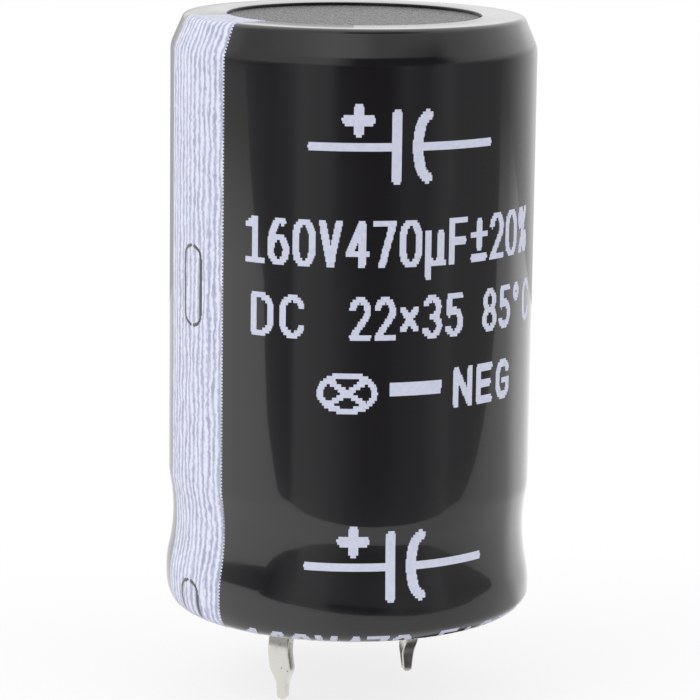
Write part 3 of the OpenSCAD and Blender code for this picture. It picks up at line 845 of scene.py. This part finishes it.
def tinned_strip(finish):
    """Steel strip, hot tinned and stamped: bright, a little milky, with rolling streaks and small pits."""
    made, add, place, shader = material("Stamped tinned strip")
    drawn = add("ShaderNodeMapping", {"Vector": place, "Scale": (1.0, 1.0, 0.25)})
    streak = add("ShaderNodeTexNoise", {"Vector": drawn, "Scale": 1 / (0.3 * MM), "Detail": 3.0})
    pits = add("ShaderNodeTexVoronoi", {"Vector": place, "Scale": 1 / (0.45 * MM)}).outputs["Distance"]
    pit = add("ShaderNodeMapRange", {"Value": pits, "From Min": 0.06, "From Max": 0.16})
    shade = add("ShaderNodeMix", {"Factor": pit, MIX_FROM: linear("#8d8a82"), MIX_TO: finish.tin},
                data_type="RGBA").outputs[MIXED]
    rough = add("ShaderNodeMapRange", {"Value": streak, "From Min": 0.3, "From Max": 0.7,
                                       "To Min": 0.2, "To Max": 0.36})
    first = add("ShaderNodeBump", {"Height": streak, "Distance": 0.006 * MM})
    bump = add("ShaderNodeBump", {"Height": pit, "Distance": 0.01 * MM, "Normal": first})
    feed(shader, {"Base Color": shade, "Metallic": 1.0, "Roughness": rough, "Normal": bump})
    return made


def metal(name, shade, grain, stretch, rough):
    """Aluminium with a fine grain. grain is its width in millimetres and stretch how it is drawn out."""
    made, add, place, shader = material(name)
    drawn = add("ShaderNodeMapping", {"Vector": place, "Scale": stretch})
    lines = add("ShaderNodeTexNoise", {"Vector": drawn, "Scale": 1 / (grain * MM), "Detail": 3.0})
    gloss = add("ShaderNodeMapRange", {"Value": lines, "To Min": rough - 0.08, "To Max": rough + 0.08})
    bump = add("ShaderNodeBump", {"Height": lines, "Distance": 0.004 * MM})
    feed(shader, {"Base Color": shade, "Metallic": 1.0, "Roughness": gloss, "Normal": bump})
    return made


def upset_aluminium(finish):
    """Soft aluminium pressed into a rivet head: satin, with the dull print of the tool."""
    return metal("Upset aluminium", finish.aluminium, 0.2, (1, 1, 1), 0.34)


def drawn_aluminium(finish):
    """Deep-drawn aluminium: satin, with fine draw lines up the side."""
    return metal("Drawn aluminium", finish.aluminium, 0.12, (1, 1, 0.05), 0.3)


def foil_aluminium(finish):
    """Etched foil strip: pale and nearly matt."""
    return metal("Etched foil", finish.aluminium, 0.08, (1, 1, 0.3), 0.45)


def grained(name, shade, other, grain, depth, rough):
    """A moulded or pressed surface with a fine grain, which is grain wide and depth deep, in millimetres."""
    made, add, place, shader = material(name)
    pebbles = add("ShaderNodeTexVoronoi", {"Vector": place, "Scale": 1 / (grain * MM)}, feature="SMOOTH_F1")
    drift = add("ShaderNodeTexNoise", {"Vector": place, "Scale": 1 / (3 * grain * MM), "Detail": 3.0})
    tone = add("ShaderNodeMix", {"Factor": drift, MIX_FROM: shade, MIX_TO: linear(other)},
               data_type="RGBA").outputs[MIXED]
    gloss = add("ShaderNodeMapRange", {"Value": drift, "To Min": rough - 0.07, "To Max": rough + 0.07})
    bump = add("ShaderNodeBump", {"Height": pebbles.outputs["Distance"], "Distance": depth * MM})
    feed(shader, {"Base Color": tone, "Roughness": gloss, "Normal": bump})
    return made


def disc_plastic(finish):
    """Punched plastic disc with an embossed grain, which breaks its gloss into specks."""
    return grained("Embossed disc plastic", finish.disc, "#4c494b", 0.2, 0.16, 0.27)


def deck_facing(finish):
    """Calendered rubber: matt black with a fine dusty grain."""
    return grained("Calendered rubber", finish.rubber, "#2e2d2f", 0.1, 0.012, 0.72)


def phenolic_board(finish):
    """Pressed phenolic laminate: brown, with a paler tone that drifts across it."""
    return grained("Phenolic laminate", finish.board, "#835a34", 0.25, 0.01, 0.45)


def wound_edges(finish):
    """The ends of wound foil and damp paper: rings a fifth of a millimetre apart, which is coarser than the
    real turns, so that they show."""
    made, add, place, shader = material("Wound foil and paper")
    flat = add("ShaderNodeVectorMath", [place, (1, 1, 0)], operation="MULTIPLY")
    far = add("ShaderNodeVectorMath", [flat], operation="LENGTH").outputs["Value"]
    phase = add("ShaderNodeMath", [far, 2 * math.pi / (0.2 * MM)], operation="MULTIPLY")
    turns = add("ShaderNodeMath", [phase], operation="SINE")
    share = add("ShaderNodeMapRange", {"Value": turns, "From Min": -1.0})
    shade = add("ShaderNodeMix", {"Factor": share, MIX_FROM: finish.paper, MIX_TO: linear("#8f8a7c")},
                data_type="RGBA").outputs[MIXED]
    bump = add("ShaderNodeBump", {"Height": turns, "Distance": 0.03 * MM})
    feed(shader, {"Base Color": shade, "Roughness": 0.6, "Normal": bump})
    return made


def closing_tape(finish):
    """Amber film tape: glossy, with faint creases."""
    return grained("Film tape", finish.tape, "#b98a30", 0.8, 0.01, 0.25)


class CAPACITOR_OT_finishes(bpy.types.Operator):
    """Gives each solid that shows as it is, and each one inside, its finish"""
    bl_idname = "capacitor.finishes"
    bl_label = "Finishes"

    def execute(self, context):
        finish = context.scene.capacitor_finish
        upset = bpy.data.materials["Upset aluminium"]
        looks = {
            "sleeve": bpy.data.materials["Shrunk gloss PVC"], "end_disc": disc_plastic(finish),
            "can": drawn_aluminium(finish), "deck_rubber": deck_facing(finish),
            "deck_board": phenolic_board(finish), "rivet": upset, "washer": upset,
            "terminal": bpy.data.materials["Stamped tinned strip"], "tab": foil_aluminium(finish),
            "winding": wound_edges(finish), "winding_tape": closing_tape(finish),
        }
        for name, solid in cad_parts.items():
            solid.data.materials.clear()
            solid.data.materials.append(looks[name.removeprefix("negative_").removeprefix("positive_")])
        return {"FINISHED"}


# Camera of the photograph: where it stands, in metres, how it is turned, in degrees, and its lens, in
# millimetres
CAMERA_DISTANCE = 199.26 * MM
CAMERA_HEIGHT = 53.91 * MM
CAMERA_AZIMUTH = -40.0
CAMERA_PITCH = 10.887
CAMERA_ROLL = 0.756
CAMERA_LENS = 171.22

# Brightness of the room in rings from below the horizon to overhead. Each ring begins at an elevation in
# degrees, and its stops are bearings from the camera's side, right positive
ROOM = (
    (-90, ((-180, 0.35), (-160, 0.5), (-146, 1.0), (-95, 1.0), (-85, 0.3), (-56, 0.22), (-50, 0.2),
           (-38, 0.13), (-34, 0.38), (-19, 0.31), (-9, 0.23), (0, 0.14), (8, 0.08), (22, 0.07), (30, 0.12),
           (46, 0.16), (57, 0.26), (63, 0.3), (68, 0.22), (80, 0.2), (104, 0.19), (115, 0.26), (124, 0.35),
           (132, 0.46), (156, 0.62), (180, 0.5))),
    (-10, ((-180, 0.4), (-160, 0.55), (-146, 1.0), (-95, 1.0), (-85, 0.3), (-64, 0.14), (-50, 0.08),
           (-42, 0.2), (-30, 0.34), (-14, 0.28), (-8, 0.02), (22, 0.02), (34, 0.2), (46, 0.1), (57, 0.26),
           (63, 0.3), (68, 0.22), (80, 0.2), (104, 0.19), (115, 0.36), (132, 0.64), (156, 0.82),
           (180, 0.7))),
    (1, ((-180, 1.0), (-110, 0.9), (-85, 0.3), (-50, 0.2), (-38, 0.13), (-34, 0.38), (-9, 0.23), (0, 0.1),
         (8, 0.07), (50, 0.08), (63, 0.3), (90, 0.3), (120, 0.6), (145, 1.0), (180, 1.0))),
    (6, ((-180, 0.9), (-110, 0.9), (-80, 0.42), (-45, 0.5), (-16, 0.6), (-6, 0.3), (2, 0.03), (58, 0.03),
         (70, 0.5), (130, 0.9), (180, 0.9))),
    (34, ((-180, 0.9), (-110, 0.9), (-80, 0.42), (-45, 0.6), (-15, 0.82), (5, 0.75), (18, 0.5), (45, 0.5),
          (60, 0.7), (130, 0.9), (180, 0.9))),
    (45, ((-180, 0.9), (-110, 0.9), (-90, 0.6), (-14, 0.6), (-4, 0.12), (60, 0.12), (70, 0.6), (110, 0.9),
          (180, 0.9))),
    (72, ((-180, 0.8), (180, 0.8))),
)
# Degrees within which a ring takes over, and the strength of the even light on what isn't a mirror
RING_RISE = 6
EVEN_LIGHT = 0.8
# Brightness with which the pale sheet glows in the part's gloss, a painted reflection, by bearing as above.
# Its darker bearings are painted shade
SHEET_GLOSS = ((-180, 0.7), (-150, 0.72), (-128, 0.9), (-100, 0.9), (-45, 0.84), (-20, 0.8), (0, 0.64),
               (60, 0.6), (112, 0.6), (124, 0.95), (180, 1.0))
# Front edge of the pale sheet under the part, as millimetres to the camera's right and towards the camera
SHEET_EDGE = ((-420, 150), (-198, 108), (-140, 102), (-106, 81), (-75, 64), (-49, 54.5), (-25, 57), (0, 58),
              (22, 57), (70, 18), (100, -2), (135, -24), (420, -110))
SHEET_BACK = -135
SHEET_DROP = 0.1 * MM
# Middles of the painted shadows in the sheet's gloss, which the far terminal's two faces mirror, in metres
PAINTED_SHADOWS_AT = ((0.00395, -0.00462, -0.0057), (0.00623, 0.00587, -0.0057))
# Soft lights: metres towards the camera, to its right and up, and watts
LAMPS = {"key_light": (0.3, -0.45, 0.5, 2.2), "fill_light": (0.2, 0.5, 0.4, 1.2)}
LAMP_WIDTH = 0.5


def camera_basis():
    """The level directions towards the camera and to its right."""
    a = math.radians(CAMERA_AZIMUTH)
    return Vector((math.sin(a), -math.cos(a), 0)), Vector((math.cos(a), math.sin(a), 0))


def by_bearing(add, way, *tables):
    """A colour ramp for each table of bearings and brightness, read at the bearing of a vector."""
    front, right = camera_basis()
    ahead = add("ShaderNodeVectorMath", [way, front], operation="DOT_PRODUCT").outputs["Value"]
    aside = add("ShaderNodeVectorMath", [way, right], operation="DOT_PRODUCT").outputs["Value"]
    bearing = add("ShaderNodeMath", [aside, ahead], operation="ARCTAN2")
    share = add("ShaderNodeMapRange", {"Value": bearing, "From Min": -math.pi, "From Max": math.pi})
    ramps = []
    for stops in tables:
        made = add("ShaderNodeValToRGB", [share])
        steps = made.color_ramp.elements
        for k, (turned, level) in enumerate(stops):
            spot = (turned + 180) / 360
            step = steps[k] if k < 2 else steps.new(spot)
            step.position = spot
            step.color = (level, level, level, 1)
        ramps.append(made.outputs[0])
    return ramps


def mirrored_rays(add):
    """1 for a ray that left a glossy or clear surface, and 1 for a ray from the camera."""
    rays = add("ShaderNodeLightPath").outputs
    either = add("ShaderNodeMath", [rays["Is Glossy Ray"], rays["Is Transmission Ray"]], operation="MAXIMUM")
    return either, rays["Is Camera Ray"]


def room():
    """The world: white to the camera, an even light on the part, and a plain room in its gloss."""
    world = bpy.data.worlds.new("Plain room")
    add = emptied(world)
    way = add("ShaderNodeTexCoord").outputs["Generated"]
    height = add("ShaderNodeSeparateXYZ", [way]).outputs["Z"]
    rings = by_bearing(add, way, *[stops for _, stops in ROOM])
    walls = rings[0]
    for (begins, _), ring_colour in zip(ROOM[1:], rings[1:]):
        low, high = (math.sin(math.radians(angle)) for angle in (begins, begins + RING_RISE))
        rise = add("ShaderNodeMapRange", {"Value": height, "From Min": low, "From Max": high})
        walls = add("ShaderNodeMix", {"Factor": rise, MIX_FROM: walls, MIX_TO: ring_colour},
                    data_type="RGBA").outputs[MIXED]
    gloss, direct = mirrored_rays(add)
    seen = add("ShaderNodeBackground", {"Color": WHITE})
    even = add("ShaderNodeBackground", {"Color": WHITE, "Strength": EVEN_LIGHT})
    mirrored = add("ShaderNodeBackground", {"Color": walls})
    lit = add("ShaderNodeMixShader", [gloss, even, mirrored])
    both = add("ShaderNodeMixShader", [direct, lit, seen])
    add("ShaderNodeOutputWorld", {"Surface": both})
    bpy.context.scene.world = world


def sheet_paper():
    """White card: matt. Seen directly it runs out to pure white and keeps a faint shadow. In the part's gloss
    it glows instead, as a painted reflection with painted shade and shadows.
    """
    made = bpy.data.materials.new("White card")
    add = emptied(made)
    place = add("ShaderNodeTexCoord").outputs["Object"]
    far = add("ShaderNodeVectorMath", [place], operation="LENGTH").outputs["Value"]
    fade = add("ShaderNodeMapRange", {"Value": far, "From Min": 12 * MM, "From Max": 60 * MM, "To Min": 0.78},
               interpolation_type="SMOOTHSTEP")
    # In the painted reflection its far end falls off into the room
    bright = add("ShaderNodeMapRange", {"Value": far, "From Min": 190 * MM, "From Max": 330 * MM,
                                        "To Min": 1.0, "To Max": 0.42})
    # Painted shadow: the sheet glows darker where the far terminal mirrors it, as if in the part's shadow
    for middle in PAINTED_SHADOWS_AT:
        off = add("ShaderNodeVectorMath", [place, middle], operation="DISTANCE").outputs["Value"]
        lit = add("ShaderNodeMapRange", {"Value": off, "From Min": 3.5 * MM, "From Max": 5.5 * MM,
                                         "To Min": 0.1})
        bright = add("ShaderNodeMath", [bright, lit], operation="MULTIPLY")
    # Painted reflection: for glossy and clear rays the sheet glows by bearing, though it is no lamp
    painted_reflection = by_bearing(add, place, SHEET_GLOSS)[0]
    mirrored = add("ShaderNodeEmission", {"Color": painted_reflection, "Strength": bright})
    gloss, direct = mirrored_rays(add)
    card = add("ShaderNodeBsdfDiffuse", {"Color": linear("#f2f2f2")})
    seen = add("ShaderNodeEmission", {"Color": WHITE})
    share = add("ShaderNodeMath", [fade, direct], operation="MULTIPLY")
    faced = add("ShaderNodeMixShader", [share, card, seen])
    both = add("ShaderNodeMixShader", [gloss, faced, mirrored])
    add("ShaderNodeOutputMaterial", {"Surface": both})
    return made


class CAPACITOR_OT_stage(bpy.types.Operator):
    """Sets the pale sheet, the room, the soft lights and the photograph's camera"""
    bl_idname = "capacitor.stage"
    bl_label = "Stage"

    def execute(self, context):
        scene = context.scene
        front, right = camera_basis()
        corners = [*SHEET_EDGE, (SHEET_EDGE[-1][0], SHEET_BACK), (SHEET_EDGE[0][0], SHEET_BACK)]
        points = [right * x * MM + front * y * MM for x, y in corners]
        mesh = bpy.data.meshes.new("sheet")
        mesh.from_pydata([(p.x, p.y, TIP_Z - SHEET_DROP) for p in points], [], [range(len(points))[::-1]])
        mesh.materials.append(sheet_paper())
        linked("sheet", mesh)
        room()
        # Each lamp faces the middle of the case. The gloss shows the room and not the lamps
        middle = Vector((0, 0, CASE_TOP / 2))
        for name, (ahead, aside, up, power) in LAMPS.items():
            light = bpy.data.lights.new(name, "AREA")
            light.size, light.energy = LAMP_WIDTH, power
            lamp = linked(name, light)
            lamp.visible_glossy = False
            lamp.location = front * ahead + right * aside + Vector((0, 0, up))
            lamp.rotation_euler = (middle - lamp.location).to_track_quat("-Z", "Y").to_euler()

        data = bpy.data.cameras.new("camera")
        data.lens = CAMERA_LENS
        data.clip_start, data.clip_end = 0.01, 10
        camera = linked("camera", data)
        pose = Matrix.Translation(front * CAMERA_DISTANCE + Vector((0, 0, CAMERA_HEIGHT)))
        for angle, axis in ((CAMERA_AZIMUTH, "Z"), (90 - CAMERA_PITCH, "X"), (CAMERA_ROLL, "Z")):
            pose = pose @ Matrix.Rotation(math.radians(angle), 4, axis)
        camera.matrix_world = pose
        scene.camera = camera
        scene.view_settings.view_transform = "Standard"
        return {"FINISHED"}


class CAPACITOR_PT_panel(bpy.types.Panel):
    """Lists the operators in the order in which they run"""
    bl_idname = "CAPACITOR_PT_panel"
    bl_label = "Capacitor"
    bl_space_type = "VIEW_3D"
    bl_region_type = "UI"
    bl_category = "Capacitor"

    def draw(self, context):
        for step in STEPS:
            self.layout.operator("capacitor." + step)


STEPS = ("sleeve", "print", "terminals", "rivets", "finishes", "stage")
GROUPS = {"capacitor_sleeve": SleeveSizes, "capacitor_print": PrintSizes,
          "capacitor_terminals": TerminalSizes, "capacitor_finish": Finishes}
CLASSES = (*GROUPS.values(), CAPACITOR_OT_sleeve, CAPACITOR_OT_print, CAPACITOR_OT_terminals,
           CAPACITOR_OT_rivets, CAPACITOR_OT_finishes, CAPACITOR_OT_stage, CAPACITOR_PT_panel)


def register():
    for made in CLASSES:
        bpy.utils.register_class(made)
    for name, group in GROUPS.items():
        setattr(bpy.types.Scene, name, bpy.props.PointerProperty(type=group))


def unregister():
    for name in GROUPS:
        delattr(bpy.types.Scene, name)
    for made in reversed(CLASSES):
        bpy.utils.unregister_class(made)


def main():
    register()
    for step in STEPS:
        getattr(bpy.ops.capacitor, step)()


if __name__ == "__main__":
    main()
